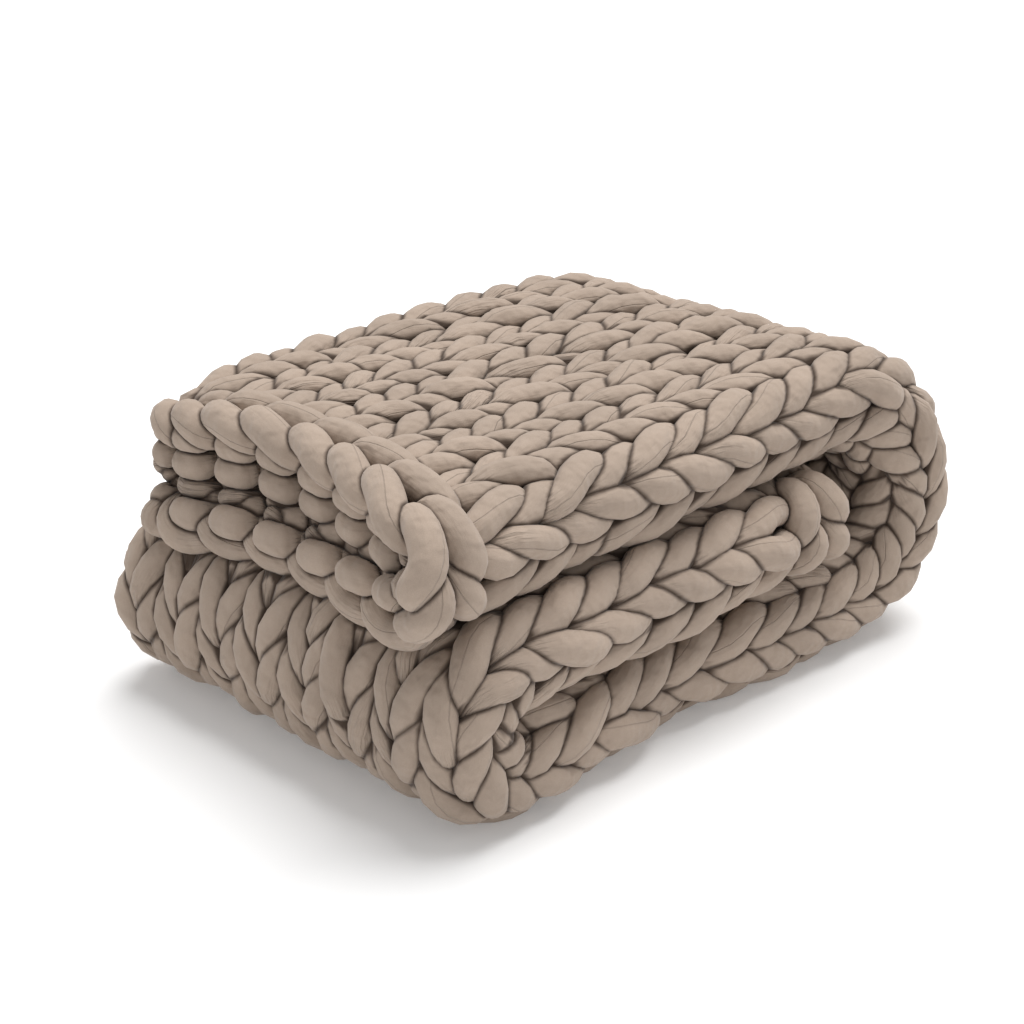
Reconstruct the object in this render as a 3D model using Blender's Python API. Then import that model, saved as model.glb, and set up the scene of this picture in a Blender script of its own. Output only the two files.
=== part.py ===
"""A chunky hand-knit weighted blanket, folded for storage, as one solid.

The cloth is stocking stitch in a stuffed cotton tube. It is doubled along its length, with the
fold on the near side (-Y) and both selvedges on the far side (+Y), and then rolled into three
passes: the top pass runs right from the free first edge, the cloth turns down round the right
end, comes back along the floor, turns up at the left and ends between the other two passes.

u runs along the cloth from its first edge and v across it, from the near fold out to the two
selvedges, v > 0 being the outer layer. Both are measured on the knit side, also round the turns.
h stands off a layer's middle surface on its knit side.
The origin is on the floor, under the middle of the folded stack.
"""

import math

import bmesh
import bpy

# Driving dimensions, in metres.
WALE = 0.063  # width of one column of stitches
WALES = 15
COURSE = 0.0515  # height of one row of stitches
COURSES = 42
LAYER = 0.050  # room that one thickness of cloth takes in the stack
SLIT = 0.003  # air between two layers that lie on each other
KNIT_TURN = 0.037  # the stitches keep their size this far outside the line that the cloth turns on
FIRST_EDGE_X = 0.006  # the first edge stands this far back from the left turn
SHORT_OF_TURN = 0.0165  # the last edge stops this far before the right turn

# Stitch relief: heights over the middle surface, on the knit side.
LEG_CREST = 0.0235
LEG_VALLEY = 0.0150
SEAM_CREST = 0.0180  # where two legs meet, level with their crests
SEAM_VALLEY = 0.0110
EDGE_SWELL = 0.0010  # the chain along the two end edges stands this much prouder
EDGE_SCALLOP = 0.005  # and the edges dip this far between their loops
CLIMB = 0.62  # how far a leg climbs across half a column, in courses
BACK = LAYER / 2 - SLIT / 2  # the plain purl side, and the knit side where it is hidden

# How many columns from the near fold show their stitches, layer by layer.
SHOWN_UNDER = 1.5  # outer layer, floor and middle passes
SHOWN_INNER = 1.0  # inner layer, all along but for the turns
FADE = 0.5  # and how many more it takes them to flatten out

# Mesh steps. A row of points lies in the dip before each leg (0) or on its crest (1).
SHOWN_ROWS = ((0.0, 0), (0.32, 1), (0.70, 1))  # place in the course, crest or dip
HIDDEN_ROWS = ((0.0, 0), (0.5, 1))
STEPS_PER_WALE = 4
FINE_FROM = -1.5 * WALE  # v from which the knit side is cut that finely
HIDDEN_STEP = 1.6 * WALE  # across the hidden inner layer and the purl side
FOLD_STEPS = 4  # round the purl side of the near fold
NEARLY = 1e-6

# How the stack departs from the true roll: heights at its top, and the first edge.
FAR_RIGHT_DROP = 0.016
NEAR_RIGHT_RISE = 0.012
FAR_LEFT_DROP = 0.022
CROWN = 0.004
FAR_CORNER = 0.16  # how far along each edge the far left corner's droop reaches
SLANT = 0.016  # the first edge stands back by this much more at its far end
CORNER_TUCK = 0.036  # its far corner is tucked in by this much
CORNER_POWER = 6  # the higher, the nearer to the corner the tuck starts
OUTER_BOW = 0.048  # and between its corners it bows in by this much, on the outer layer
INNER_BOW = 0.028
BUNCHED = 0.30  # length of cloth that takes all this up
OUTER_CURL = 0.008  # the outer layer's first edge curls up, to its knit side
INNER_CURL = 0.018  # and the inner layer's curls down
CURL_BACK = 0.016  # which leaves the purl side this far behind the rim
CURLED = 0.085  # length of cloth that curls
CURL_START = 0.10  # and how far from the near fold it has its full height

WIDTH = WALE * WALES
LENGTH = COURSE * COURSES
NEAR_TURN = LAYER / 2  # a layer's middle surface, round the near fold
QUARTER = KNIT_TURN * math.pi / 2
RIGHT_TURN = 2 * LAYER  # the doubled cloth's centre line, round the right end
LEFT_TURN = LAYER
LEFT_X = 2 * LAYER
RIGHT_KNIT = RIGHT_TURN + KNIT_TURN
LEFT_KNIT = LEFT_TURN + KNIT_TURN
STRAIGHT = LENGTH - math.pi * (RIGHT_KNIT + LEFT_KNIT)
RIGHT_X = (STRAIGHT + FIRST_EDGE_X + 2 * LEFT_X + SHORT_OF_TURN) / 3
U_RIGHT = RIGHT_X - FIRST_EDGE_X
U_FLOOR = U_RIGHT + math.pi * RIGHT_KNIT
U_LEFT = U_FLOOR + RIGHT_X - LEFT_X
U_MIDDLE = U_LEFT + math.pi * LEFT_KNIT
STACK_X = RIGHT_X + 3 * LAYER
STACK_Y = LAYER + WIDTH / 2 - QUARTER
STACK_Z = 6 * LAYER

# Along the cloth: how far its near fold stands back, and how many columns the fold has walked.
# Both ease off towards the far side, where the edges lie level.
WALK_LEFT_FAR = 0.3
FOLD_COURSE = (
    # u, stands back, walked
    (0.0, 0.026, -0.30),
    (U_RIGHT - 0.10, 0.030, -0.30),
    (U_RIGHT + 0.22, 0.004, -0.50),
    (U_FLOOR + 0.05, 0.006, -0.48),
    (U_FLOOR + 0.25, 0.022, -0.42),
    (U_LEFT, 0.002, -0.50),
    (U_MIDDLE, 0.004, -0.38),
    (LENGTH, 0.002, -0.35),
)


def smooth(t):
    t = min(max(t, 0.0), 1.0)
    return t * t * (3 - 2 * t)


def fold_at(u):
    """(stands back, walked) at u, eased between the rows of FOLD_COURSE."""
    for (u0, back0, walk0), (u1, back1, walk1) in zip(FOLD_COURSE, FOLD_COURSE[1:]):
        if u <= u1:
            t = smooth((u - u0) / (u1 - u0))
            return back0 + t * (back1 - back0), walk0 + t * (walk1 - walk0)
    return FOLD_COURSE[-1][1:]


def centre_line(u):
    """(x, z, outward x, outward z) of the doubled cloth's centre line."""
    if u < U_RIGHT:
        return FIRST_EDGE_X + u, 5 * LAYER, 0.0, 1.0
    if u < U_FLOOR:
        turn = (u - U_RIGHT) / RIGHT_KNIT
        out_x, out_z = math.sin(turn), math.cos(turn)
        return RIGHT_X + RIGHT_TURN * out_x, 3 * LAYER + RIGHT_TURN * out_z, out_x, out_z
    if u < U_LEFT:
        return RIGHT_X - (u - U_FLOOR), LAYER, 0.0, -1.0
    if u < U_MIDDLE:
        turn = (u - U_LEFT) / LEFT_KNIT
        out_x, out_z = -math.sin(turn), -math.cos(turn)
        return LEFT_X + LEFT_TURN * out_x, 2 * LAYER + LEFT_TURN * out_z, out_x, out_z
    return LEFT_X + (u - U_MIDDLE), 3 * LAYER, 0.0, 1.0


def lean(x, y, z):
    """The stack's own unevenness: nothing at the floor, all of it at the top."""
    right, near = x / STACK_X, 1 - y / STACK_Y
    rise = NEAR_RIGHT_RISE * smooth(right) * near - FAR_RIGHT_DROP * right * (1 - near)
    rise += CROWN * (4 * near * (1 - near) - 1)
    rise -= FAR_LEFT_DROP * (1 - smooth(x / FAR_CORNER)) * (1 - smooth((STACK_Y - y) / FAR_CORNER))
    return x, y, max(z - SLIT / 2 + rise * z / STACK_Z, 0.0)


def from_fold(u, v):
    """How far across the cloth (u, v) lies from the near fold, where the fold has walked to."""
    return v - fold_at(u)[1] * WALE * (1 - (1 - WALK_LEFT_FAR) * abs(v) / (WIDTH / 2))


def first_edge(v):
    """How far the first edge stands back from the left end, v from the near fold."""
    far = abs(v) / (WIDTH / 2)
    bow = OUTER_BOW if v > 0 else INNER_BOW
    return SLANT * far + CORNER_TUCK * far**CORNER_POWER + bow * math.sin(math.pi * min(far, 1.0))


def place(u, v, h):
    """The point of the folded stack at (u, v), h off the middle surface."""
    v = from_fold(u, v)
    far = abs(v) / (WIDTH / 2)
    curl = (1 - smooth(u / CURLED)) * smooth(abs(v) / CURL_START)
    stands_back = first_edge(v) * (1 - smooth(u / BUNCHED)) + CURL_BACK * curl * (1 - h / BACK) / 2
    x, z, out_x, out_z = centre_line(u + stands_back)
    reach = NEAR_TURN + h
    round_fold = min(abs(v), QUARTER) / KNIT_TURN
    flat = max(abs(v) - QUARTER, 0.0)
    y = fold_at(u)[0] * (1 - flat / (WIDTH / 2)) + LAYER - reach * math.cos(round_fold) + flat
    n = math.copysign(reach * math.sin(round_fold), v)
    n += curl * (OUTER_CURL if v > 0 else -INNER_CURL * (1 - min(far, 1.0) ** CORNER_POWER))
    return lean(x + n * out_x, y, z + n * out_z)


def shows(u, v):
    """1 where the stitches stand out, 0 where the layer is pressed flat and hidden."""
    v = from_fold(u, v)
    if v < 0:
        turning = U_RIGHT < u < U_FLOOR or U_LEFT - COURSE < u < U_MIDDLE + COURSE
        return 0.0 if turning else 1 - smooth((-v / WALE - SHOWN_INNER) / FADE)
    under = smooth((u - U_FLOOR + COURSE) / COURSE) - smooth((u - U_LEFT) / COURSE)
    under += smooth((u - U_MIDDLE) / COURSE)
    return 1 - under * smooth((v / WALE - SHOWN_UNDER) / FADE)


def across(v):
    """0 on the middle line of a column of stitches, 1 on the line between two columns."""
    return 2 * abs(v / WALE - round(v / WALE))


def point_rows():
    """(u, on a crest) of each row of points along the cloth."""
    rows = []
    for course in range(COURSES):
        u = course * COURSE
        hidden = U_FLOOR < u < U_LEFT - COURSE or u > U_MIDDLE
        for place_in_course, crest in HIDDEN_ROWS if hidden else SHOWN_ROWS:
            rows.append((u + place_in_course * COURSE, crest))
    return rows + [(LENGTH, 0)]


def knit_point(u, crest, v):
    """A point of the knit side. Rows of points follow the legs, so each one climbs and falls."""
    from_end = min(u, LENGTH - u)
    on_leg = 1 - abs(2 * across(v) - 1)
    dip = EDGE_SCALLOP * (1 - on_leg) * (1 - smooth(from_end / COURSE))
    if abs(v) > WIDTH / 2 - EDGE_SCALLOP and not crest:
        v -= math.copysign(EDGE_SCALLOP, v)
    climb = (across(v) - 0.5) * CLIMB * COURSE * smooth(from_end / COURSE)
    seam, leg = (SEAM_CREST, LEG_CREST) if crest else (SEAM_VALLEY, LEG_VALLEY)
    h = seam + (leg - seam) * on_leg
    edge = (1 - smooth(from_end / COURSE)) * (1 + on_leg) / 2
    h += (LEG_CREST + EDGE_SWELL - h) * edge
    u += climb + math.copysign(dip, LENGTH / 2 - u)
    return place(u, v, BACK + (h - BACK) * shows(u, v))


def spread(start, end, step):
    """Even stations from start to end, both included, about a step apart."""
    count = max(1, math.ceil(abs(end - start) / step - NEARLY))
    return [start + (end - start) * i / count for i in range(count + 1)]


def strips(mesh, grid):
    """Quads between the rows of a grid of points."""
    for low, high in zip(grid, grid[1:]):
        for a, b, c, d in zip(low, low[1:], high[1:], high):
            mesh.faces.new((a, b, c, d))


def join(mesh, first, second, v_first, v_second):
    """Triangles between two lines of points that cross the cloth at different stations."""
    i = j = 0
    while i < len(first) - 1 or j < len(second) - 1:
        can_first = i < len(first) - 1
        if can_first and (j == len(second) - 1 or v_first[i + 1] <= v_second[j + 1] + NEARLY):
            mesh.faces.new((first[i], first[i + 1], second[j]))
            i += 1
        else:
            mesh.faces.new((first[i], second[j + 1], second[j]))
            j += 1


def blanket_mesh():
    half = WIDTH / 2
    fine = WALE / STEPS_PER_WALE
    knit_v = spread(-half, FINE_FROM, HIDDEN_STEP)[:-1] + spread(FINE_FROM, half, fine)
    purl_v = spread(-half, -QUARTER, HIDDEN_STEP)[:-1]
    purl_v += spread(-QUARTER, QUARTER, 2 * QUARTER / FOLD_STEPS)
    purl_v += spread(QUARTER, half, HIDDEN_STEP)[1:]
    rows = point_rows()
    mesh = bmesh.new()
    knit = [[mesh.verts.new(knit_point(u, crest, v)) for v in knit_v] for u, crest in rows]
    purl = [[mesh.verts.new(place(u, v, -BACK)) for v in purl_v] for u, _ in rows]
    strips(mesh, knit)
    strips(mesh, purl)
    for side in (0, -1):
        strips(mesh, [[knit_row[side], purl_row[side]] for knit_row, purl_row in zip(knit, purl)])
    for end in (0, -1):
        join(mesh, knit[end], purl[end], knit_v, purl_v)
    bmesh.ops.recalc_face_normals(mesh, faces=mesh.faces[:])
    stand_on_centre(mesh)
    return mesh


def stand_on_centre(mesh):
    """Moves the stack so that the origin is under the middle of its bounding box."""
    for axis in (0, 1):
        places = [vert.co[axis] for vert in mesh.verts]
        middle = (min(places) + max(places)) / 2
        for vert in mesh.verts:
            vert.co[axis] -= middle


def cotton():
    material = bpy.data.materials.new("cotton_jersey")
    material.use_nodes = True
    surface = material.node_tree.nodes["Principled BSDF"]
    surface.inputs["Base Color"].default_value = (0.42, 0.33, 0.26, 1.0)
    surface.inputs["Roughness"].default_value = 0.9
    surface.inputs["Metallic"].default_value = 0.0
    return material


def main():
    for old in list(bpy.data.objects):
        bpy.data.objects.remove(old, do_unlink=True)
    data = bpy.data.meshes.new("blanket")
    mesh = blanket_mesh()
    mesh.to_mesh(data)
    mesh.free()
    data.materials.append(cotton())
    data.shade_smooth()
    blanket = bpy.data.objects.new("blanket", data)
    bpy.context.scene.collection.objects.link(blanket)


main()
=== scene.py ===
"""The folded weighted blanket, stitch by stitch: one stuffed tube knitted in stocking stitch.

u runs along the cloth from its first edge and v across it, from the near fold out to the two
selvedges, v > 0 being the outer layer. h stands off a layer's middle surface on its knit side.
place() carries these onto the folded stack, as the solid has them. All sizes are in metres.
"""

import math
import random

import bpy
import numpy as np
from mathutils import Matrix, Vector, noise
from mathutils.kdtree import KDTree


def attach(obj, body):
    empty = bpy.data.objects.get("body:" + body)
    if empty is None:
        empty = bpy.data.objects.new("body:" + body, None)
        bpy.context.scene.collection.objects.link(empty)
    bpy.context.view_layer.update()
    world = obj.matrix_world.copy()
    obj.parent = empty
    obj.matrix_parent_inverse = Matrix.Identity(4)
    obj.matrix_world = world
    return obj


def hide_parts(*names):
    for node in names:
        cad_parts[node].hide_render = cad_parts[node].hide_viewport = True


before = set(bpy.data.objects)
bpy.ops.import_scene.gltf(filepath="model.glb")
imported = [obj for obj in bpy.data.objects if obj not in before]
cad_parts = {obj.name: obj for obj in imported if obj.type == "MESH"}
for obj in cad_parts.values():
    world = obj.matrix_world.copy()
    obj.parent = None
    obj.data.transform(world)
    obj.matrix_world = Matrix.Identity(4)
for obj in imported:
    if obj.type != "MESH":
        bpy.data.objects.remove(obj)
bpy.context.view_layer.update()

# ---- the folded cloth: the solid's own sizes ---------------------------------------------------
WALE = 0.063  # width of one column of stitches
WALES = 15
COURSE = 0.0515  # height of one row of stitches
COURSES = 42
LAYER = 0.050  # room that one thickness of cloth takes in the stack
SLIT = 0.003  # air between two layers that lie on each other
KNIT_TURN = 0.037  # the stitches keep their size this far outside the line that the cloth turns on
FIRST_EDGE_X = 0.006  # the first edge stands this far back from the left turn
SHORT_OF_TURN = 0.0165  # the last edge stops this far before the right turn
BACK = LAYER / 2 - SLIT / 2  # the purl side

# How the stack departs from the true roll: heights at its top, and the first edge.
FAR_RIGHT_DROP = 0.016
NEAR_RIGHT_RISE = 0.012
FAR_LEFT_DROP = 0.022
CROWN = 0.004
FAR_CORNER = 0.16  # how far along each edge the far left corner's droop reaches
SLANT = 0.016  # the first edge stands back by this much more at its far end
CORNER_TUCK = 0.036  # its far corner is tucked in by this much
CORNER_POWER = 6  # the higher, the nearer to the corner the tuck starts
OUTER_BOW = 0.048  # and between its corners it bows in by this much, on the outer layer
INNER_BOW = 0.028
BUNCHED = 0.30  # length of cloth that takes all this up
OUTER_CURL = 0.008  # the outer layer's first edge curls up, to its knit side
INNER_CURL = 0.018  # and the inner layer's curls down
CURL_BACK = 0.016  # which leaves the purl side this far behind the rim
CURLED = 0.085  # length of cloth that curls
CURL_START = 0.10  # and how far from the near fold it has its full height

WIDTH = WALE * WALES
LENGTH = COURSE * COURSES
NEAR_TURN = LAYER / 2  # a layer's middle surface, round the near fold
QUARTER = KNIT_TURN * math.pi / 2
RIGHT_TURN = 2 * LAYER  # the doubled cloth's centre line, round the right end
LEFT_TURN = LAYER
LEFT_X = 2 * LAYER
RIGHT_KNIT = RIGHT_TURN + KNIT_TURN
LEFT_KNIT = LEFT_TURN + KNIT_TURN
STRAIGHT = LENGTH - math.pi * (RIGHT_KNIT + LEFT_KNIT)
RIGHT_X = (STRAIGHT + FIRST_EDGE_X + 2 * LEFT_X + SHORT_OF_TURN) / 3
U_RIGHT = RIGHT_X - FIRST_EDGE_X
U_FLOOR = U_RIGHT + math.pi * RIGHT_KNIT
U_LEFT = U_FLOOR + RIGHT_X - LEFT_X
U_MIDDLE = U_LEFT + math.pi * LEFT_KNIT
STACK_X = RIGHT_X + 3 * LAYER
STACK_Y = LAYER + WIDTH / 2 - QUARTER
STACK_Z = 6 * LAYER
MIDDLE_X = 0.3550  # the middle of the solid's box, from the left turn and the near fold
MIDDLE_Y = 0.2389

# Along the cloth: how far its near fold stands back, and how many columns the fold has walked.
# Both ease off towards the far side.
WALK_LEFT_FAR = 0.3  # part of the walk left there
FOLD_COURSE = (
    # u, stands back, walked
    (0.0, 0.026, -0.30),
    (U_RIGHT - 0.10, 0.030, -0.30),
    (U_RIGHT + 0.22, 0.004, -0.50),
    (U_FLOOR + 0.05, 0.006, -0.48),
    (U_FLOOR + 0.25, 0.022, -0.42),
    (U_LEFT, 0.002, -0.50),
    (U_MIDDLE, 0.004, -0.38),
    (LENGTH, 0.002, -0.35),
)

# ---- the tube, where it presses on itself ------------------------------------------------------
SIDES = 18  # of a ring of its mesh
CONTACT = 0.86  # stuffed tubes press together to this part of their radii
PUSH = 0.5  # of an overlap that one step of settling takes away
STRAIGHTEN = 0.15  # of its bend that a tube loses in a step
STAY = 0.10  # of its way that a point goes back to where it was laid
LOOP_STEPS = 60
LOOP_PUSH = 0.25  # as PUSH, for the one loop that all the others follow
SETTLE_STEPS = 30
LOOK_AGAIN = 10  # steps until the tubes that are near each other are looked for again
LOOK_FURTHER = 0.003  # than those that already touch
SAME_TUBE = 0.055  # parts of one tube nearer than this along it do not push each other
ON_FLOOR = 0.88  # of its radius that a tube's middle keeps above the floor
FLOOR_GAP = 0.0004
FLATTENED = 0.05  # against the cloth
GAP_REACH = 0.012  # how far from a tube the next one is still looked for
OFF_CLOTH = 0.002  # the step that finds the way off the cloth
NEARLY = 1e-9
MEAN_STEP = 0.004  # between two points of the yarn, for the place along it
TUBE_APART = 0.3  # and between the starts of two separate tubes

# ---- the stitches ------------------------------------------------------------------------------
POINTS_PER_STITCH = 36
LOOP_RISE = 1.60 * COURSE  # a loop's head and sinker lie this far from the middle of its row
LOOP_LEAN = (1.8, 0.10)  # how far the legs swing apart, and how far both lean over
TOP_LEAN = (1.55, 0.16)  # the same on top of the stack
TOP_FROM = 2  # columns from the near fold, where the stitches lie as on top
LOOP_DEPTH = 0.011
LOOP_FLAT = 2.2  # the higher, the straighter a leg lies between the crossings
LEAF_TILT = -0.008  # a leg's foot lies over the row before, its head end is tucked under
GIRTH = (
    # degrees round a loop, radius
    (0, 0.0108),
    (28, 0.0112),
    (42, 0.0130),
    (56, 0.0151),
    (72, 0.0160),
    (90, 0.0158),
    (110, 0.0145),
    (130, 0.0116),
    (150, 0.0099),
    (180, 0.0103),
)
GIRTH_EASED = (-9, -3, 3, 9)  # degrees over which the radius is evened out
FIRST_COURSE = 1  # the chains take the place of the rows before and after these
LAST_COURSE = COURSES - 3
COURSES_PER_PIECE = 7
SELVEDGE = 0.016  # beyond this far from its edge the cloth is drawn in
DRAWN_IN = 0.34  # to this part of its width
BACK_POINTS = 14  # where the tube turns back at a selvedge
BACK_GIRTH = (0.0115, 0.0025)  # there, and how much more half way round
BACK_DEPTH = 1.3 * LOOP_DEPTH

# How far the stitches stray from even ones.
STITCH_SEED = 11
STRAY_SEED = 7
STRAY = (0.006, 0.005, 0.003)  # whole stitches, along the cloth, across it and off it
STRAY_LENGTH = 0.11
LEG_STRAY = (0.0032, 0.0026, 0.0022)  # single legs, the same three ways
GIRTH_STRAY = 0.0009
CRUMPLED = 1.6  # this much more so inside the two turns
CRUMPLED_AT = (U_RIGHT + RIGHT_TURN * math.pi / 2, U_LEFT + LEFT_TURN * math.pi / 2)
CRUMPLED_LENGTH = 0.16  # over which it grows, along the cloth
CRUMPLED_REACH = 1.5  # of these lengths away, where it starts
CRUMPLED_COLUMNS = (1.5, 0.4)  # of the inner layer: over how many it grows, and its part at the fold

# ---- the chains along the first and the last edge ----------------------------------------------
CHAIN_POINTS = 44
CHAIN_RISE = 0.77  # in links: how far a link's head and foot lie from its middle
CHAIN_SWING = 1.05  # how far a link's two legs swing apart
CHAIN_WIDTH = 0.078
CHAIN_DEPTH = 0.011
CHAIN_NECK = 130  # degrees round a link, from where its two ends run together
CHAIN_GIRTH = (
    # degrees round a link, radius
    (0, 0.0120),
    (25, 0.0138),
    (48, 0.0162),
    (85, 0.0170),
    (115, 0.0160),
    (140, 0.0128),
    (180, 0.0110),
)
CHAIN_LINKS = range(-8, 8)
CHAIN_SEED = 5
CHAIN_STRAY = (0.0015, 0.03, 0.001)  # across the edge, along it in links, and off the cloth
CHAIN_FIRM = 0.6  # 0 gives way like the yarn, 1 stays where it is laid
INNER_CHAIN = 0.86  # part of their radius that the links on the inner layer have
INNER_CHAIN_FROM = 3  # links from the near fold
LAST_CHAIN = 0.052  # the last edge's chain lies this far before the cloth's end
CHAIN_U = (0.021, 0.011)  # the first edge's chain, on the inner and on the outer layer
CHAIN_COURSE = (
    # link, from the near fold, stands off the first edge, ahead of it, stands off the last edge
    (-8.0, -0.440, 0.023, 0.017, 0.000),
    (-7.0, -0.390, 0.020, 0.012, 0.000),
    (-6.0, -0.326, 0.016, 0.005, 0.000),
    (-5.0, -0.264, 0.012, 0.000, 0.000),
    (-1.5, -0.045, 0.012, 0.000, 0.002),
    (-1.0, -0.013, 0.014, 0.000, 0.004),
    (0.0, 0.020, 0.016, 0.000, 0.004),
    (1.0, 0.0905, 0.012, 0.000, 0.002),
    (2.0, 0.157, 0.010, 0.000, 0.000),
    (4.0, 0.290, 0.007, 0.000, 0.000),
    (5.0, 0.3565, 0.005, 0.000, 0.000),
    (6.0, 0.405, 0.000, 0.000, 0.000),
    (7.0, 0.445, -0.006, 0.000, 0.000),
)

# ---- the rows of bumps between the two layers at the open end ----------------------------------
PURL_POINTS = 190
PURL_FIRM = 0.85
PURL_BOX = 4.0  # the higher, the blunter the bumps' ends
PURL_THIN = 0.6  # part of the radius left where the tube dives between two bumps
PURL_SHIFT = 0.3 * WALE  # the bumps stand this far across from even columns
PURL_STRAY = 0.0016  # of a bump, along the cloth and off it
PURL_BUMPS = 10  # at most, in one row
PURL_FROM = 0.9 * QUARTER
PURL_TO = WIDTH / 2 - 0.008
PURL_MIDDLE = 0.27  # from the near fold: where the droop starts
PURL_END = 0.022  # over this length a row tucks its far end away
PURL_TIP = 0.01  # the square of its radius there, as a part
PURL_ROWS = (
    # side, u, h, droop toward the far end, stands out, radius
    (1, -0.006, -0.008, 0.00, 0.006, 0.0150),
    (1, -0.014, -0.034, 0.00, 0.007, 0.0158),
    (1, -0.018, -0.056, 0.00, 0.003, 0.0140),
    (-1, 0.008, -0.012, 0.12, 0.003, 0.0145),
    (-1, -0.007, -0.002, 0.08, 0.008, 0.0158),
)


# ---- from the cloth to the stack ---------------------------------------------------------------
def smooth(t):
    """0 to 1 with a soft start and a soft end, while t goes from 0 to 1."""
    t = min(max(t, 0.0), 1.0)
    return t * t * (3 - 2 * t)


def fold_at(u):
    """How far the near fold stands back there, and how many columns it has walked."""
    for (u0, back0, walk0), (u1, back1, walk1) in zip(FOLD_COURSE, FOLD_COURSE[1:]):
        if u <= u1:
            t = smooth((u - u0) / (u1 - u0))
            return back0 + t * (back1 - back0), walk0 + t * (walk1 - walk0)
    return FOLD_COURSE[-1][1:]


def centre_line(u):
    """Where the doubled cloth's middle runs in the stack: x and z, and the way out from there."""
    if u < U_RIGHT:
        return FIRST_EDGE_X + u, 5 * LAYER, 0.0, 1.0
    if u < U_FLOOR:
        turn = (u - U_RIGHT) / RIGHT_KNIT
        out_x, out_z = math.sin(turn), math.cos(turn)
        return RIGHT_X + RIGHT_TURN * out_x, 3 * LAYER + RIGHT_TURN * out_z, out_x, out_z
    if u < U_LEFT:
        return RIGHT_X - (u - U_FLOOR), LAYER, 0.0, -1.0
    if u < U_MIDDLE:
        turn = (u - U_LEFT) / LEFT_KNIT
        out_x, out_z = -math.sin(turn), -math.cos(turn)
        return LEFT_X + LEFT_TURN * out_x, 2 * LAYER + LEFT_TURN * out_z, out_x, out_z
    return LEFT_X + (u - U_MIDDLE), 3 * LAYER, 0.0, 1.0


def lean(x, y, z):
    """The true roll's point, moved to where it lies in the uneven stack."""
    right, near = x / STACK_X, 1 - y / STACK_Y
    rise = NEAR_RIGHT_RISE * smooth(right) * near - FAR_RIGHT_DROP * right * (1 - near)
    rise += CROWN * (4 * near * (1 - near) - 1)
    rise -= FAR_LEFT_DROP * (1 - smooth(x / FAR_CORNER)) * (1 - smooth((STACK_Y - y) / FAR_CORNER))
    return x - MIDDLE_X, y - MIDDLE_Y, z - SLIT / 2 + rise * z / STACK_Z


def from_fold(u, v):
    """v, counted from where the near fold has walked to."""
    return v - fold_at(u)[1] * WALE * (1 - (1 - WALK_LEFT_FAR) * abs(v) / (WIDTH / 2))


def first_edge(v):
    """How far the first edge stands back from the left turn."""
    far = min(abs(v) / (WIDTH / 2), 1.0)
    bow = OUTER_BOW if v > 0 else INNER_BOW
    return SLANT * far + CORNER_TUCK * far**CORNER_POWER + bow * math.sin(math.pi * far)


def place(u, v, h):
    """The point of the folded stack where (u, v, h) of the cloth lies."""
    v = from_fold(u, v)
    far = min(abs(v) / (WIDTH / 2), 1.0)
    curl = (1 - smooth(u / CURLED)) * smooth(abs(v) / CURL_START)
    stands_back = first_edge(v) * (1 - smooth(u / BUNCHED)) + CURL_BACK * curl * (1 - h / BACK) / 2
    x, z, out_x, out_z = centre_line(u + stands_back)
    reach = NEAR_TURN + h
    round_fold = min(abs(v), QUARTER) / KNIT_TURN
    flat = max(abs(v) - QUARTER, 0.0)
    y = fold_at(u)[0] * (1 - flat / (WIDTH / 2)) + LAYER - reach * math.cos(round_fold) + flat
    n = reach * math.sin(round_fold) * math.copysign(1, v)
    n += curl * (OUTER_CURL if v > 0 else -INNER_CURL * (1 - far**CORNER_POWER))
    return lean(x + n * out_x, y, z + n * out_z)


# ---- tubes that press on each other ------------------------------------------------------------
def pushed(points, first, second, wanted):
    """How far each point has to move for each pair to be the wanted distance apart."""
    apart = points[first] - points[second]
    distance = np.linalg.norm(apart, axis=1) + NEARLY
    overlap = wanted - distance
    touching = overlap > 0
    first, second = first[touching], second[touching]
    push = apart[touching] * (overlap[touching] / distance[touching])[:, None] / 2
    move = np.empty_like(points)
    for axis in range(3):
        move[:, axis] = np.bincount(first, push[:, axis], len(points))
        move[:, axis] -= np.bincount(second, push[:, axis], len(points))
    count = np.bincount(first, minlength=len(points)) + np.bincount(second, minlength=len(points))
    return move / np.maximum(count, 1)[:, None]


def close_pairs(points, reach, tube, along):
    """Index pairs of points nearer than reach, left out where they are neighbours in one tube."""
    tree = KDTree(len(points))
    for i, point in enumerate(points):
        tree.insert(point, i)
    tree.balance()
    first, second = [], []
    for i, point in enumerate(points):
        near = [j for _, j, _ in tree.find_range(point, reach) if j > i]
        first.extend([i] * len(near))
        second.extend(near)
    first, second = np.array(first), np.array(second)
    keep = (tube[first] != tube[second]) | (np.abs(along[first] - along[second]) > SAME_TUBE)
    return first[keep], second[keep]


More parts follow.
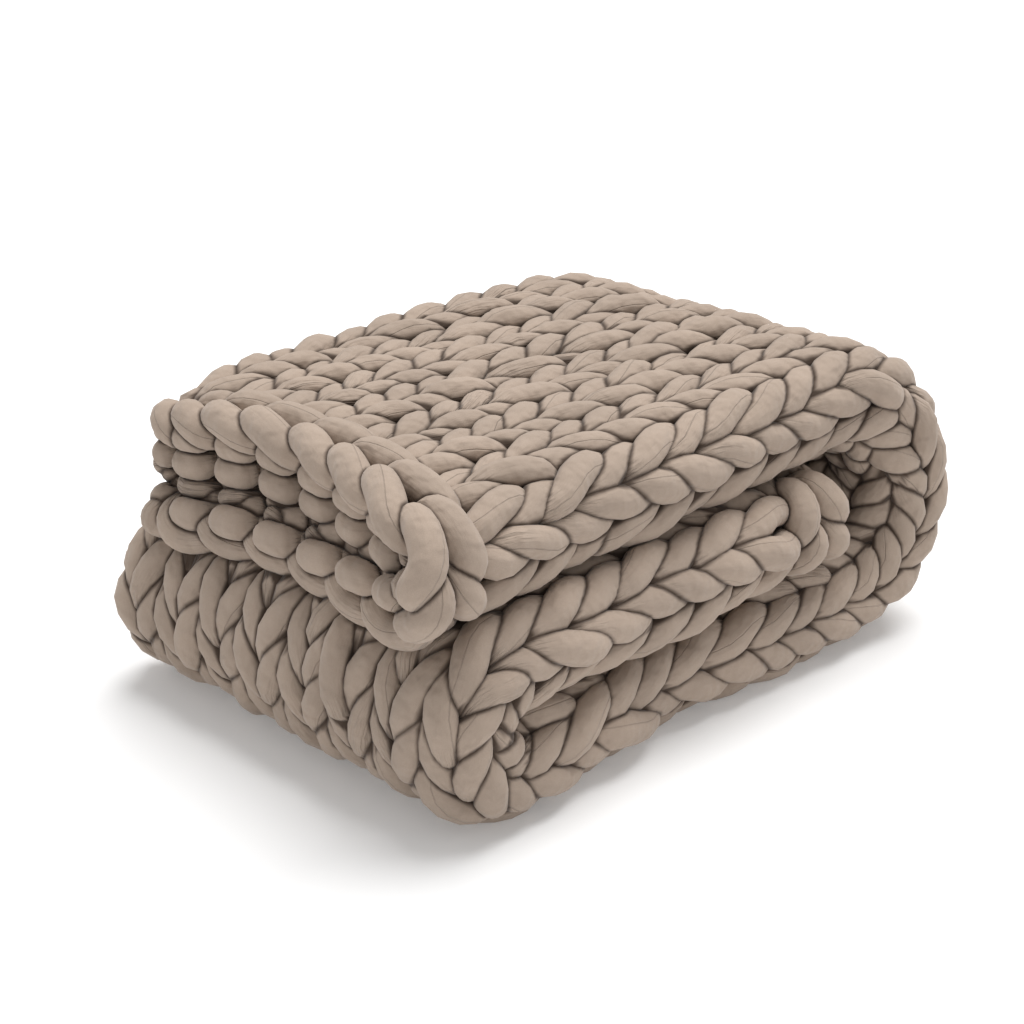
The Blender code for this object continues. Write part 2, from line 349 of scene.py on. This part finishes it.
def settle(strands):
    """Lets all the tubes push each other apart, near to where they were laid, and sweeps them."""
    home = np.concatenate([s["points"] for s in strands])
    radius = np.concatenate([s["radius"] for s in strands])
    tube = np.concatenate([np.full(len(s["points"]), i) for i, s in enumerate(strands)])
    steps = np.linalg.norm(np.diff(home, axis=0, prepend=home[:1]), axis=1)
    along = np.cumsum(steps)
    inside = np.zeros(len(home), dtype=bool)
    inside[1:-1] = (tube[1:-1] == tube[:-2]) & (tube[1:-1] == tube[2:])
    inner = np.nonzero(inside)[0]
    soft = 1 - np.concatenate([np.full(len(s["points"]), s["firm"]) for s in strands])[:, None]
    points = home.copy()
    for step in range(SETTLE_STEPS):
        if step % LOOK_AGAIN == 0:
            reach = 2 * CONTACT * radius.max() + LOOK_FURTHER
            first, second = close_pairs(points, reach, tube, along)
            wanted = CONTACT * (radius[first] + radius[second])
        points += PUSH * pushed(points, first, second, wanted) * soft
        points[inner] += STRAIGHTEN * ((points[inner - 1] + points[inner + 1]) / 2 - points[inner])
        points += STAY * (home - points)
        points[:, 2] = np.maximum(points[:, 2], ON_FLOOR * radius)
    ends = np.cumsum([len(s["points"]) for s in strands])
    for strand, end in zip(strands, ends):
        strand["points"] = points[end - len(strand["points"]):end]
        strand["rings"] = sweep(strand)
    pairs = close_pairs(points, 2 * radius.max() + GAP_REACH, tube, along)
    gap = gaps(points, radius, np.concatenate([s["rings"] for s in strands]), *pairs)
    for strand, end in zip(strands, ends):
        strand["gap"] = gap[end - len(strand["points"]):end]


def gaps(points, radius, rings, first, second):
    """For each point of each ring: how far it is from the nearest other tube, up to GAP_REACH."""
    gap = np.full(rings.shape[:2], GAP_REACH)
    for here, there in ((first, second), (second, first)):
        order = np.argsort(here, kind="stable")
        here, there = here[order], there[order]
        away = np.linalg.norm(rings[here] - points[there][:, None], axis=2) - radius[there][:, None]
        starts = np.flatnonzero(np.diff(here, prepend=-1))
        which = here[starts]
        gap[which] = np.minimum(gap[which], np.minimum.reduceat(away, starts))
    return gap


# ---- sweeping the tube -------------------------------------------------------------------------
def strand_of(path, radius, name, firm=0.0):
    """A tube laid along (u, v, h) rows on the stack. The firmer it is, the less it gives way."""
    points = np.array([place(u, v, h) for u, v, h in path])
    above = np.array([place(u, v, h + OFF_CLOTH) for u, v, h in path])
    out = above - points
    out /= np.linalg.norm(out, axis=1)[:, None] + NEARLY
    return {"points": points, "out": out, "radius": radius, "name": name, "firm": firm}


def sweep(strand):
    """Rings of a tube, a little flattened against the cloth and never below the floor."""
    points, out, radius = strand["points"], strand["out"], strand["radius"]
    count = len(points)
    tangent = np.gradient(points, axis=0)
    tangent /= np.linalg.norm(tangent, axis=1)[:, None] + NEARLY
    side = np.cross(tangent[0], [0.0, 0.0, 1.0])
    if np.linalg.norm(side) < 0.1:
        side = np.cross(tangent[0], [0.0, 1.0, 0.0])
    side /= np.linalg.norm(side)
    angle = np.arange(SIDES) * 2 * math.pi / SIDES
    rings = np.empty((count, SIDES, 3))
    for i in range(count):
        side = side - tangent[i] * side.dot(tangent[i])
        side /= np.linalg.norm(side) + NEARLY
        other = np.cross(tangent[i], side)
        ring = np.outer(np.cos(angle), side) + np.outer(np.sin(angle), other)
        ring *= radius[i]
        ring -= np.outer(ring @ out[i], out[i]) * FLATTENED
        rings[i] = points[i] + ring
    rings[:, :, 2] = np.maximum(rings[:, :, 2], FLOOR_GAP)
    return rings


def tube_mesh(name, tubes):
    """One mesh of several tubes, with UVs: x round the tube, y along it in metres.

    Each point also carries the tube's radius, and its gap to the nearest other tube for the painted
    shade.
    """
    verts, faces, uvs, girths, nearest = [], [], [], [], []
    base = 0
    for rings, radius, gap, start in tubes:
        count = len(rings)
        verts.append(rings.reshape(-1, 3))
        middle = rings.mean(axis=1)
        steps = np.linalg.norm(np.diff(middle, axis=0), axis=1)
        along = start + np.concatenate([[0], np.cumsum(steps)])
        girths.append(np.repeat(radius, SIDES))
        nearest.append(gap.ravel())
        for i in range(count - 1):
            for j in range(SIDES):
                k = (j + 1) % SIDES
                faces.append((base + i * SIDES + j, base + i * SIDES + k,
                              base + (i + 1) * SIDES + k, base + (i + 1) * SIDES + j))
                a, b = j / SIDES, (j + 1) / SIDES
                uvs.extend(((a, along[i]), (b, along[i]), (b, along[i + 1]), (a, along[i + 1])))
        for end, order in ((0, -1), (count - 1, 1)):
            ring = [base + end * SIDES + j for j in range(SIDES)][::order]
            faces.append(tuple(ring))
            uvs.extend((j / SIDES, along[end]) for j in range(SIDES))
        base += count * SIDES
    data = bpy.data.meshes.new(name)
    data.from_pydata(np.concatenate(verts).tolist(), [], faces)
    layer = data.uv_layers.new(name="UVMap")
    layer.data.foreach_set("uv", np.array(uvs, dtype=np.float32).ravel())
    for attribute, values in (("girth", girths), ("gap", nearest)):
        field = data.attributes.new(attribute, "FLOAT", "POINT")
        field.data.foreach_set("value", np.concatenate(values).astype(np.float32))
    data.shade_smooth()
    piece = bpy.data.objects.new(name, data)
    bpy.context.scene.collection.objects.link(piece)
    return piece


# ---- knitting ----------------------------------------------------------------------------------
def girth(t, table=GIRTH):
    """The tube's radius round a loop: fat in the legs, thin where loops cross."""
    degrees = np.degrees(np.abs(t))
    at, radius = np.array(table).T
    return sum(np.interp(np.abs(degrees + d), at, radius) for d in GIRTH_EASED) / len(GIRTH_EASED)


def settled_loop(swing, skew):
    """One loop of the endless knit, settled between its neighbours: rows of (u, v, h), radius."""
    t = np.linspace(-math.pi, math.pi, POINTS_PER_STITCH, endpoint=False)
    legs = np.sin(t) ** 2
    rise = LOOP_RISE * np.cos(t)
    across = WALE / (2 * math.pi) * (t + swing * np.sin(2 * t)) + skew * rise * legs
    depth = -LOOP_DEPTH * np.tanh(LOOP_FLAT * np.cos(2 * t)) / math.tanh(LOOP_FLAT)
    home = np.stack([rise, across, depth + LEAF_TILT * np.cos(t) * legs], axis=1)
    radius = girth(t)
    following = np.array([0, WALE, 0])
    closed = np.vstack([home, home[:1] + following])
    along = np.concatenate([[0], np.cumsum(np.linalg.norm(np.diff(closed, axis=0), axis=1))])
    total, along = along[-1], along[:-1]
    loop = home.copy()
    for _ in range(LOOP_STEPS):
        push = np.zeros_like(loop)
        touched = np.zeros(len(loop))
        for row in (-2, -1, 0, 1, 2):
            for column in (-1, 0, 1):
                apart = loop[:, None] - (loop + [row * COURSE, column * WALE, 0])[None]
                distance = np.linalg.norm(apart, axis=2) + NEARLY
                overlap = CONTACT * (radius[:, None] + radius[None]) - distance
                if row == 0:
                    between = np.abs(along[:, None] - (along[None] + column * total))
                    overlap[between < SAME_TUBE] = -1
                overlap = np.maximum(overlap, 0)
                push += (apart / distance[..., None] * overlap[..., None]).sum(axis=1)
                touched += (overlap > 0).sum(axis=1)
        loop += LOOP_PUSH * push / np.maximum(touched, 1)[:, None]
        after = np.vstack([loop[1:], loop[:1] + following])
        before = np.vstack([loop[-1:] - following, loop[:-1]])
        loop += STRAIGHTEN * ((after + before) / 2 - loop)
        loop += STAY * (home - loop)
        loop[:, 2] = np.clip(loop[:, 2], -LOOP_DEPTH, LOOP_DEPTH)
    return t, loop, radius


LOOP_T, LOOP, LOOP_RADIUS = settled_loop(*LOOP_LEAN)
TOP_LOOP = settled_loop(*TOP_LEAN)[1]


def course_path(course, chance):
    """One row of loops from the inner selvedge to the outer one: rows of (u, v, h), radius."""
    rows, radii = [], []
    legs = np.sin(LOOP_T) ** 2
    grows_over, at_fold = CRUMPLED_COLUMNS
    for k in range(-(WALES // 2), WALES // 2 + 1):
        middle = Vector(((course + 0.5) * COURSE, k * WALE, 0))
        turning = max(smooth(CRUMPLED_REACH - abs(middle.x - u) / CRUMPLED_LENGTH) for u in CRUMPLED_AT)
        crumpled = 1 + CRUMPLED * turning * smooth(-k / grows_over + at_fold)
        astray = noise.noise_vector(middle / STRAY_LENGTH) * crumpled
        on_top = smooth(k / TOP_FROM) * (1 - smooth((middle.x - U_RIGHT) / (2 * COURSE)))
        loop = LOOP + on_top * (TOP_LOOP - LOOP) + np.array(middle) + np.array(astray) * STRAY
        radius = LOOP_RADIUS.copy()
        for side in (LOOP_T < 0, LOOP_T >= 0):
            shift = [chance.gauss(0, spread) for spread in LEG_STRAY]
            loop[side] += np.outer(legs[side], shift)
            radius[side] += chance.gauss(0, GIRTH_STRAY) * legs[side]
        rows.append(loop)
        radii.append(radius)
    return np.concatenate(rows), np.concatenate(radii)


def eased_selvedges(v):
    """v, drawn in where the tube turns back beyond the last column."""
    reach = WIDTH / 2 - SELVEDGE
    over = np.abs(v) - reach
    return np.where(over > 0, np.sign(v) * (reach + over * DRAWN_IN), v)


def yarn():
    """The whole blanket as one path that turns back at each selvedge, its radius, and the number
    of points in each row."""
    chance = random.Random(STITCH_SEED)
    noise.seed_set(STRAY_SEED)
    paths, radii = [], []
    for course in range(FIRST_COURSE, LAST_COURSE + 1):
        path, radius = course_path(course, chance)
        if course % 2:
            path, radius = path[::-1], radius[::-1]
        if course < LAST_COURSE:
            end = path[-1]
            turn = np.linspace(0, math.pi, BACK_POINTS)[1:-1]
            arc = np.stack([
                end[0] + COURSE / 2 * (1 - np.cos(turn)),
                end[1] + math.copysign(COURSE / 2, end[1]) * np.sin(turn),
                end[2] + BACK_DEPTH * np.sin(turn) ** 2,
            ], axis=1)
            path = np.concatenate([path, arc])
            least, more = BACK_GIRTH
            radius = np.concatenate([radius, least + more * np.sin(turn) ** 2])
        paths.append(path)
        radii.append(radius)
    lengths = [len(path) for path in paths]
    path = np.concatenate(paths)
    path[:, 1] = eased_selvedges(path[:, 1])
    return path, np.concatenate(radii), lengths


def chain_link(k, edge, chance):
    """One loop of the chain that closes an edge: it runs along the edge, open toward lower v."""
    t = np.linspace(-math.pi, math.pi, CHAIN_POINTS)
    legs = np.sin(t) ** 2
    degrees = np.degrees(np.abs(t))
    left = t < 0
    stray_across, stray_along, stray_off = CHAIN_STRAY
    swing = t + CHAIN_SWING * np.sin(2 * t)
    tail = np.interp(degrees, (CHAIN_NECK, 180), (1.0, 0.0))
    neck = math.radians(CHAIN_NECK) + CHAIN_SWING * math.sin(math.radians(2 * CHAIN_NECK))
    across = np.where(degrees > CHAIN_NECK, np.sign(t) * neck * tail, swing)
    across = across * CHAIN_WIDTH / (2 * math.pi)
    across += np.where(left, chance.gauss(0, stray_across), chance.gauss(0, stray_across)) * legs
    link = k - CHAIN_RISE * np.cos(t) + chance.gauss(0, stray_along)
    off = -CHAIN_DEPTH * np.cos(2 * t) + LEAF_TILT * np.cos(t) * legs
    off += np.where(left, chance.gauss(0, stray_off), chance.gauss(0, stray_off)) * legs
    links, from_near, first_off, ahead, last_off = np.array(CHAIN_COURSE).T
    v = np.interp(link, links, from_near)
    upper = np.array([smooth(x / (2 * QUARTER) + 0.5) for x in v])
    if edge == "first":
        u = CHAIN_U[0] + upper * (CHAIN_U[1] - CHAIN_U[0]) + across - np.interp(link, links, ahead)
        h = np.interp(link, links, first_off) + off
    else:
        u = LENGTH - LAST_CHAIN - across
        h = np.interp(link, links, last_off) + off
    walked = fold_at(u[0])[1] * WALE
    v = v + walked * (1 - (1 - WALK_LEFT_FAR) * np.abs(v) / (WIDTH / 2))
    path = np.stack([u, eased_selvedges(v), h], axis=1)
    size = 1 - (1 - INNER_CHAIN) * smooth(-k / INNER_CHAIN_FROM)
    return strand_of(path, girth(t, CHAIN_GIRTH) * size, edge + "_chain", CHAIN_FIRM)


def purl_row(side, u, h, droop, stands_out, size, chance):
    """A row between the two layers at the open end: one bump in each column, diving between."""
    v = np.linspace(PURL_FROM, PURL_TO, PURL_POINTS)
    column = (v - PURL_SHIFT) / WALE
    bump = np.tanh(PURL_BOX * np.cos(2 * math.pi * column)) / math.tanh(PURL_BOX)
    which = np.round(column).astype(int)
    shifts = np.array([[chance.gauss(0, PURL_STRAY) for _ in range(2)] for _ in range(PURL_BUMPS)])
    weight = (bump + 1) / 2
    ending = np.clip(1 - (PURL_TO - v) / PURL_END, 0, 1) ** 2
    path = np.stack([
        u - stands_out * bump + shifts[which, 0] * weight + PURL_END * ending,
        side * v,
        h + droop * (v - PURL_MIDDLE) + shifts[which, 1] * weight,
    ], axis=1)
    radius = size * (PURL_THIN + (1 - PURL_THIN) * weight) * (1 - (1 - PURL_THIN) * ending)
    radius *= np.sqrt(np.clip(1 - ending**4, PURL_TIP, 1))
    return strand_of(path, radius, "end_rows", PURL_FIRM)


def all_strands():
    """The yarn, the chains of both edges and the rows of bumps, settled, and the yarn's row lengths."""
    path, radius, lengths = yarn()
    strands = [strand_of(path, radius, "yarn")]
    chance = random.Random(CHAIN_SEED)
    for edge in ("first", "last"):
        for k in CHAIN_LINKS:
            strands.append(chain_link(k, edge, chance))
    for row in PURL_ROWS:
        strands.append(purl_row(*row, chance))
    settle(strands)
    return strands, lengths


def build_cloth():
    """The pieces: the yarn in runs of some rows each, both chains, and the rows of bumps."""
    strands, lengths = all_strands()
    rings, radius, gap = strands[0]["rings"], strands[0]["radius"], strands[0]["gap"]
    starts = np.concatenate([[0], np.cumsum(lengths)])
    pieces = []
    for first in range(0, len(lengths), COURSES_PER_PIECE):
        last = min(first + COURSES_PER_PIECE, len(lengths))
        low, high = starts[first], min(starts[last] + 1, len(rings))
        tube = (rings[low:high], radius[low:high], gap[low:high], low * MEAN_STEP)
        name = "stitches_%02d" % (FIRST_COURSE + first + 1)
        pieces.append(tube_mesh(name, [tube]))
    for name in ("first_chain", "last_chain", "end_rows"):
        tubes = [(s["rings"], s["radius"], s["gap"], i * TUBE_APART)
                 for i, s in enumerate(strands) if s["name"] == name]
        pieces.append(tube_mesh(name, tubes))
    return pieces


# ---- the cotton jersey -------------------------------------------------------------------------
BASE_COLOUR = (0.385, 0.304, 0.244)
ROUGHNESS = 0.95
SPECULAR = 0.2
SHEEN = 0.12
SHEEN_ROUGHNESS = 0.5
PATCH_SCALE = 14.0  # all scales are noise cells per metre
PATCHES = (0.3, 0.7)  # the noise in the darkest and in the lightest patches
SHADES = (0.93, 1.05)  # and the parts of the base colour that they have
GRAIN_SCALE = 1400.0
GRAIN_HEIGHT = 0.00012
GRAINS = (0.2, 0.8)  # the noise in the darkest and in the lightest grains
GRAIN_SHADES = (0.94, 1.06)
DENT_SCALE = 70.0
DENT_HEIGHT = 0.004
PLEATS_ROUND = 3.4  # noise cells round the tube, over 2 pi
PLEATS_ALONG = 42.0  # and per metre along it
PLEAT_HEIGHT = 0.006
PLEATED_GIRTH = 0.0118  # the jersey is fully puckered where the tube is this thin
SMOOTH_GIRTH = 0.0152  # and lies smooth where it is this fat
SMOOTH_PLEATS = 0.12  # but for this part of the puckers
SEAMS = (0.0, 0.43)  # where the two seams lie round the tube, in turns
SEAM_WANDER = 0.7  # turns that they wander round it
SEAM_WANDER_SCALE = 4.0
SEAM_APART = 10  # keeps their two ways apart in the noise
SEAM_WIDTH = 0.009  # turns, to each side
SEAM_DEPTH = 0.0005
SEAM_SHADE = 0.86  # part of the colour left on a seam
# Painted shade: where two tubes touch, the colour is mixed toward a dark brown that stands in for the
# shadow in the crevice between them.
PAINTED_SHADE_DARKEST_GAP = -0.0005  # the gap between two tubes where the shade painted into a crevice is darkest
PAINTED_SHADE_CLEAR_GAP = 0.0038  # and where it ends
PAINTED_SHADE_STRENGTH = 0.95  # part of the painted shade's dark colour in the mix there
PAINTED_SHADE_COLOUR = (0.058, 0.038, 0.027, 1.0)


class Nodes:
    """The nodes of one material, added and joined in one go."""

    def __init__(self, material):
        self.tree = material.node_tree

    def add(self, kind, inputs=(), **settings):
        node = self.tree.nodes.new(kind)
        for name, value in settings.items():
            setattr(node, name, value)
        for socket, value in dict(inputs).items():
            if isinstance(value, bpy.types.NodeSocket):
                self.tree.links.new(value, node.inputs[socket])
            else:
                node.inputs[socket].default_value = value
        return node

    def math(self, operation, a, b=0.0):
        return self.add("ShaderNodeMath", {0: a, 1: b}, operation=operation).outputs[0]

    def ranged(self, value, low, high, to_low=0.0, to_high=1.0):
        return self.add("ShaderNodeMapRange", {"Value": value, "From Min": low, "From Max": high,
                                               "To Min": to_low, "To Max": to_high},
                        interpolation_type="SMOOTHSTEP").outputs[0]

    def noise(self, vector, scale, detail=2.0):
        inputs = {"Vector": vector, "Scale": scale, "Detail": detail}
        return self.add("ShaderNodeTexNoise", inputs).outputs[0]


def seam_line(made, round_tube, along, start):
    """1 on a seam that wanders along the tube, 0 beside it."""
    way = made.add("ShaderNodeCombineXYZ", {"X": along, "Y": start * SEAM_APART}).outputs[0]
    wander = made.math("MULTIPLY", made.noise(way, SEAM_WANDER_SCALE, 0.0), SEAM_WANDER)
    place_round = made.math("FRACT", made.math("ADD", made.math("ADD", round_tube, wander), start))
    beside = made.math("ABSOLUTE", made.math("SUBTRACT", place_round, 0.5))
    return made.ranged(beside, 0.0, SEAM_WIDTH, 1.0, 0.0)


def cotton():
    """Matt jersey: a fine grain, soft dents, puckers where the tube is thin, two seams, and painted
    crevice shade.
    """
    material = bpy.data.materials.new("cotton_jersey_look")
    material.use_nodes = True
    made = Nodes(material)
    surface = material.node_tree.nodes["Principled BSDF"]
    uv = made.add("ShaderNodeUVMap", uv_map="UVMap").outputs[0]
    round_tube, along, _ = made.add("ShaderNodeSeparateXYZ", {0: uv}).outputs
    angle = made.math("MULTIPLY", round_tube, 2 * math.pi)
    skin = made.add("ShaderNodeCombineXYZ", {
        "X": made.math("MULTIPLY", made.math("COSINE", angle), PLEATS_ROUND),
        "Y": made.math("MULTIPLY", made.math("SINE", angle), PLEATS_ROUND),
        "Z": made.math("MULTIPLY", along, PLEATS_ALONG),
    }).outputs[0]
    body = made.add("ShaderNodeTexCoord").outputs["Object"]
    girth_here = made.add("ShaderNodeAttribute", attribute_name="girth").outputs["Fac"]
    pleated = made.ranged(girth_here, PLEATED_GIRTH, SMOOTH_GIRTH, 1.0, SMOOTH_PLEATS)
    pleats = made.math("MULTIPLY", made.math("MULTIPLY", made.noise(skin, 1.0), pleated), PLEAT_HEIGHT)
    dents = made.math("MULTIPLY", made.noise(body, DENT_SCALE, 1.0), DENT_HEIGHT)
    grain = made.noise(body, GRAIN_SCALE, 1.0)
    seams = made.math("MAXIMUM", *[seam_line(made, round_tube, along, start) for start in SEAMS])
    height = made.math("ADD", pleats, dents)
    height = made.math("ADD", height, made.math("MULTIPLY", grain, GRAIN_HEIGHT))
    height = made.math("SUBTRACT", height, made.math("MULTIPLY", seams, SEAM_DEPTH))
    bump = made.add("ShaderNodeBump", {"Strength": 1.0, "Distance": 1.0, "Height": height})
    shade = made.ranged(made.noise(body, PATCH_SCALE), *PATCHES, *SHADES)
    shade = made.math("MULTIPLY", shade, made.ranged(grain, *GRAINS, *GRAIN_SHADES))
    # painted shade: the nearer another tube, the more the colour is mixed toward a dark brown, in place
    # of the crevices' shadow
    gap = made.add("ShaderNodeAttribute", attribute_name="gap").outputs["Fac"]
    painted_shade = made.ranged(gap, PAINTED_SHADE_DARKEST_GAP, PAINTED_SHADE_CLEAR_GAP, PAINTED_SHADE_STRENGTH, 0.0)
    off_seam = made.math("SUBTRACT", 1.0, made.math("MULTIPLY", seams, 1 - SEAM_SHADE))
    shade = made.math("MULTIPLY", shade, off_seam)
    colour = made.add("ShaderNodeVectorMath", {0: BASE_COLOUR, "Scale": shade}, operation="SCALE")
    mixed = made.add("ShaderNodeMix", data_type="RGBA")
    factor, first, second, result = mixed.inputs[0], mixed.inputs[6], mixed.inputs[7], mixed.outputs[2]
    material.node_tree.links.new(painted_shade, factor)
    material.node_tree.links.new(colour.outputs[0], first)
    second.default_value = PAINTED_SHADE_COLOUR
    material.node_tree.links.new(result, surface.inputs["Base Color"])
    material.node_tree.links.new(bump.outputs[0], surface.inputs["Normal"])
    surface.inputs["Roughness"].default_value = ROUGHNESS
    surface.inputs["Specular IOR Level"].default_value = SPECULAR
    surface.inputs["Sheen Weight"].default_value = SHEEN
    surface.inputs["Sheen Roughness"].default_value = SHEEN_ROUGHNESS
    return material


# ---- the studio --------------------------------------------------------------------------------
FLOOR_REACH = 7.0
FLOOR_COLOUR = (0.80, 0.80, 0.80, 1.0)
FLOOR_GLOW = 0.16
WHITE = (1, 1, 1, 1)
SKY = 0.54
SUN = 3.15
SUN_SPREAD = 45.0  # degrees
SUN_FROM = (0.34, 0.06, 1.0)
CAMERA_AZIMUTH = 44.4  # degrees, as the two below
CAMERA_ELEVATION = 24.3
CAMERA_FIELD = 26.0
CAMERA_DISTANCE = 2.173
TARGET_RIGHT = -0.038  # in the camera's own directions
TARGET_UP = -0.0065
TARGET_HEIGHT = 0.15


def studio():
    """A white floor, an even white sky and one broad sun high on the right."""
    r = FLOOR_REACH
    data = bpy.data.meshes.new("floor")
    data.from_pydata([(-r, -r, 0), (r, -r, 0), (r, r, 0), (-r, r, 0)], [], [(0, 1, 2, 3)])
    floor = bpy.data.objects.new("floor", data)
    bpy.context.scene.collection.objects.link(floor)
    paint = bpy.data.materials.new("floor_white")
    paint.use_nodes = True
    surface = paint.node_tree.nodes["Principled BSDF"]
    surface.inputs["Base Color"].default_value = FLOOR_COLOUR
    surface.inputs["Roughness"].default_value = 1.0
    surface.inputs["Specular IOR Level"].default_value = 0.0
    surface.inputs["Emission Color"].default_value = WHITE
    surface.inputs["Emission Strength"].default_value = FLOOR_GLOW
    data.materials.append(paint)
    world = bpy.data.worlds.new("studio")
    bpy.context.scene.world = world
    world.use_nodes = True
    world.node_tree.nodes["Background"].inputs["Color"].default_value = WHITE
    world.node_tree.nodes["Background"].inputs["Strength"].default_value = SKY
    sun = bpy.data.lights.new("sun", "SUN")
    sun.energy = SUN
    sun.angle = math.radians(SUN_SPREAD)
    lamp = bpy.data.objects.new("sun", sun)
    lamp.rotation_euler = Vector(SUN_FROM).to_track_quat("Z", "Y").to_euler()
    bpy.context.scene.collection.objects.link(lamp)


def camera():
    """The default view, from the front left and a little above."""
    azimuth, elevation = math.radians(CAMERA_AZIMUTH), math.radians(CAMERA_ELEVATION)
    ahead = Vector((
        math.sin(azimuth) * math.cos(elevation),
        math.cos(azimuth) * math.cos(elevation),
        -math.sin(elevation),
    ))
    right = Vector((math.cos(azimuth), -math.sin(azimuth), 0))
    up = right.cross(ahead)
    target = Vector((0, 0, TARGET_HEIGHT)) + right * TARGET_RIGHT + up * TARGET_UP
    data = bpy.data.cameras.new("camera")
    data.sensor_fit = "HORIZONTAL"
    data.angle = math.radians(CAMERA_FIELD)
    eye = bpy.data.objects.new("camera", data)
    eye.location = target - ahead * CAMERA_DISTANCE
    eye.rotation_euler = ahead.to_track_quat("-Z", "Y").to_euler()
    bpy.context.scene.collection.objects.link(eye)
    bpy.context.scene.camera = eye


camera()
studio()
look = cotton()
pieces = build_cloth()
for piece in pieces:
    piece.data.materials.append(look)
    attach(piece, "root")
    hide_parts("blanket")
bpy.context.scene.view_settings.view_transform = "Standard"
bpy.context.view_layer.update()
